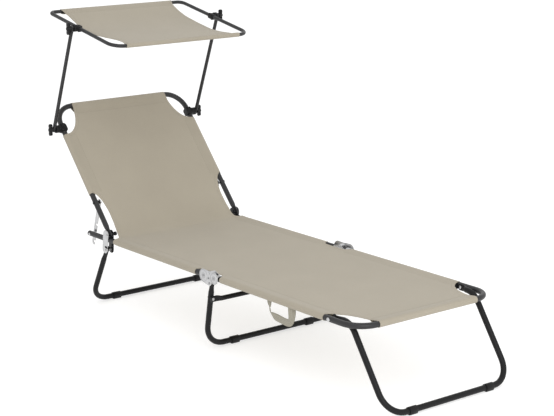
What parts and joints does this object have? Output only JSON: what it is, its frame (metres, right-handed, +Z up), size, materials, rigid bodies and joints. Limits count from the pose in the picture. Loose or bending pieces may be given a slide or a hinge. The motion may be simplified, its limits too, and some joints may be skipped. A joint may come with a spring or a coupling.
{
  "type": "folding sun lounger",
  "caption": "Folding sun lounger with a tilting canopy: dark bent tube frame, beige cloth, reclining backrest, folding legs and a webbing carry handle.",
  "frame": {"origin": "middle of the underside of the whole lounger, on the floor", "axes": "+X towards the foot end, +Y towards the user's left, +Z up"},
  "size_m": [1.8124, 0.6766, 1.0418],
  "materials": {
    "frame_paint": "satin dark grey powder coat",
    "zinc_steel": "bright zinc",
    "black_steel": "black coat",
    "black_plastic": "moulded, matte",
    "cloth": "plain woven outdoor cloth",
    "webbing": "ribbed webbing"
  },
  "bodies": {
    "seat_section": {"seat_rail_left": "frame_paint", "seat_rail_right": "frame_paint", "rear_plate_outer_left": "zinc_steel", "rear_plate_outer_right": "zinc_steel", "rear_plate_inner_left": "black_steel", "rear_plate_inner_right": "black_steel", "backrest_bolt_left": "black_steel", "backrest_bolt_right": "black_steel", "rear_leg_rivet_left": "zinc_steel", "rear_leg_rivet_right": "zinc_steel", "catch_pin_left": "zinc_steel", "catch_pin_right": "zinc_steel", "hinge_leaf_seat_left": "zinc_steel", "hinge_leaf_seat_right": "zinc_steel", "hinge_pin_left": "zinc_steel", "hinge_pin_right": "zinc_steel", "mid_leg_rivet_left": "zinc_steel", "mid_leg_rivet_right": "zinc_steel", "seat_fabric": "cloth"},
    "backrest": {"backrest_frame": "frame_paint", "backrest_fabric": "cloth", "stay_rivet_left": "black_steel", "stay_rivet_right": "black_steel", "lower_clamp_left": "black_plastic", "lower_clamp_right": "black_plastic"},
    "recline_stay_left": {"recline_stay_left": "zinc_steel"},
    "recline_stay_right": {"recline_stay_right": "zinc_steel"},
    "canopy_arms": {"canopy_arm_left": "frame_paint", "canopy_arm_right": "frame_paint"},
    "canopy": {"canopy_frame": "frame_paint", "canopy_fabric": "cloth", "upper_clamp_left": "black_plastic", "upper_clamp_right": "black_plastic"},
    "lower_knob_left": {"lower_knob_left": "black_plastic"},
    "lower_knob_right": {"lower_knob_right": "black_plastic"},
    "upper_knob_left": {"upper_knob_left": "black_plastic"},
    "upper_knob_right": {"upper_knob_right": "black_plastic"},
    "foot_section": {"foot_frame": "frame_paint", "foot_fabric": "cloth", "carry_handle": "webbing", "hinge_leaf_foot_left": "zinc_steel", "hinge_leaf_foot_right": "zinc_steel", "foot_leg_bolt_left": "zinc_steel", "foot_leg_bolt_right": "zinc_steel"},
    "foot_leg": {"foot_leg": "frame_paint", "foot_pad_left": "black_plastic", "foot_pad_right": "black_plastic"},
    "mid_leg": {"mid_leg": "frame_paint", "mid_leg_crossbar": "frame_paint", "mid_pad_left": "black_plastic", "mid_pad_right": "black_plastic"},
    "rear_leg": {"rear_leg": "frame_paint", "rear_pad_left": "black_plastic", "rear_pad_right": "black_plastic"}
  },
  "joints": [
    {"name": "backrest_recline", "type": "hinge", "parent": "seat_section", "child": "backrest", "pos_m": [-0.53722, 0, 0.2791], "axis": [0, -1, 0], "range_deg": [-70, 48.5]},
    {"name": "recline_stay_left_swing", "type": "hinge", "parent": "backrest", "child": "recline_stay_left", "pos_m": [-0.62469, 0.2633, 0.37796], "axis": [0, -1, 0], "range_deg": [-30, 38]},
    {"name": "recline_stay_right_swing", "type": "hinge", "parent": "backrest", "child": "recline_stay_right", "pos_m": [-0.62469, -0.2633, 0.37796], "axis": [0, -1, 0], "range_deg": [-30, 38]},
    {"name": "canopy_arms_swing", "type": "hinge", "parent": "backrest", "child": "canopy_arms", "pos_m": [-0.83606, 0, 0.61688], "axis": [0, 1, 0], "range_deg": [-110, 70]},
    {"name": "canopy_tilt", "type": "hinge", "parent": "canopy_arms", "child": "canopy", "pos_m": [-0.69255, 0, 0.99667], "axis": [0, 1, 0], "range_deg": [-80, 80]},
    {"name": "lower_knob_left_turn", "type": "hinge", "parent": "backrest", "child": "lower_knob_left", "pos_m": [-0.83606, 0.328, 0.61688], "axis": [0, 1, 0], "continuous": true},
    {"name": "lower_knob_right_turn", "type": "hinge", "parent": "backrest", "child": "lower_knob_right", "pos_m": [-0.83606, -0.328, 0.61688], "axis": [0, 1, 0], "continuous": true},
    {"name": "upper_knob_left_turn", "type": "hinge", "parent": "canopy", "child": "upper_knob_left", "pos_m": [-0.69255, 0.328, 0.99667], "axis": [0, 1, 0], "continuous": true},
    {"name": "upper_knob_right_turn", "type": "hinge", "parent": "canopy", "child": "upper_knob_right", "pos_m": [-0.69255, -0.328, 0.99667], "axis": [0, 1, 0], "continuous": true},
    {"name": "foot_section_fold", "type": "hinge", "parent": "seat_section", "child": "foot_section", "pos_m": [0.06878, 0, 0.271], "axis": [0, -1, 0], "range_deg": [0, 135]},
    {"name": "foot_leg_fold", "type": "hinge", "parent": "foot_section", "child": "foot_leg", "pos_m": [0.66178, 0, 0.258], "axis": [0, 1, 0], "range_deg": [0, 128]},
    {"name": "mid_leg_fold", "type": "hinge", "parent": "seat_section", "child": "mid_leg", "pos_m": [0.06978, 0, 0.237], "axis": [0, 1, 0], "range_deg": [0, 76]},
    {"name": "rear_leg_fold", "type": "hinge", "parent": "seat_section", "child": "rear_leg", "pos_m": [-0.54822, 0, 0.222], "axis": [0, -1, 0], "range_deg": [0, 115]}
  ]
}
